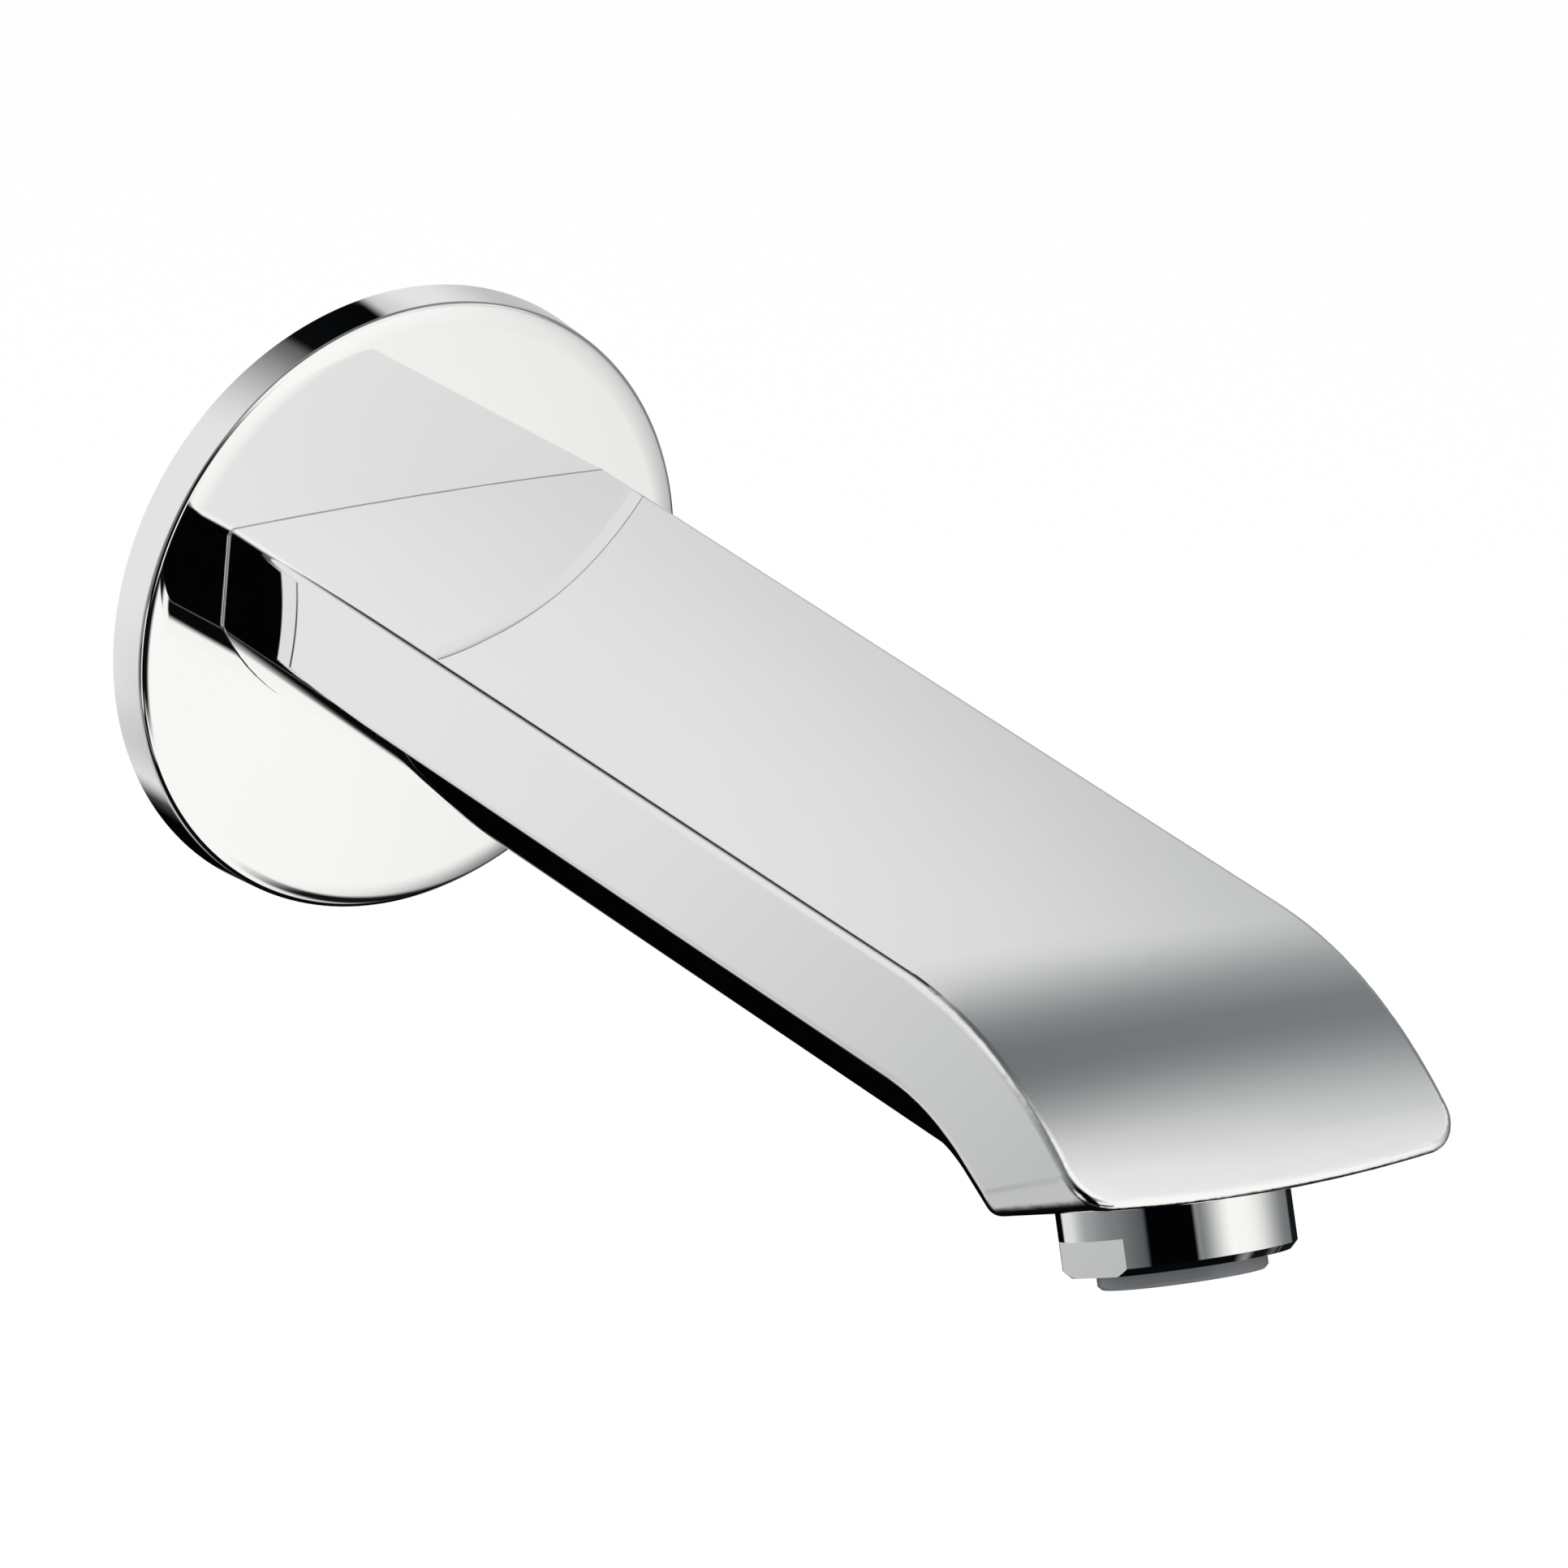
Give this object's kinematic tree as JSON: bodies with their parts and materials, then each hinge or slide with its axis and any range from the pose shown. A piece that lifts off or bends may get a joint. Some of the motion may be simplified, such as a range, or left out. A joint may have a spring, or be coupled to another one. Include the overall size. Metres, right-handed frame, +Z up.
{
  "type": "bath spout",
  "caption": "Wall-mounted bath spout: flat crowned arm with a round belly, bent down to a slanted mouth with a screwed aerator, on a round cover plate.",
  "frame": {"origin": "on the axis of the wall thread, in the plane of the finished wall", "axes": "+Y into the wall along the supply pipe, -Y the way the spout reaches, +X to the right of somebody facing the wall, +Z up"},
  "size_m": [0.0706, 0.1826, 0.0706],
  "materials": {
    "chrome": "polished chrome plating",
    "brass": "turned brass",
    "steel": "plain steel",
    "black_rubber": "moulded rubber",
    "grey_plastic": "moulded",
    "pale_plastic": "moulded"
  },
  "bodies": {
    "root": {"spout_body": "chrome", "escutcheon": "chrome", "aerator_collar": "chrome", "escutcheon_gasket": "black_rubber", "escutcheon_grip_ring": "black_rubber", "nipple_seals": "black_rubber", "aerator_washer": "black_rubber", "aerator_strainer": "pale_plastic", "aerator_diffuser": "pale_plastic", "aerator_grid": "pale_plastic", "connection_nipple": "brass", "set_screw": "steel", "aerator_cartridge": "grey_plastic"}
  },
  "joints": []
}
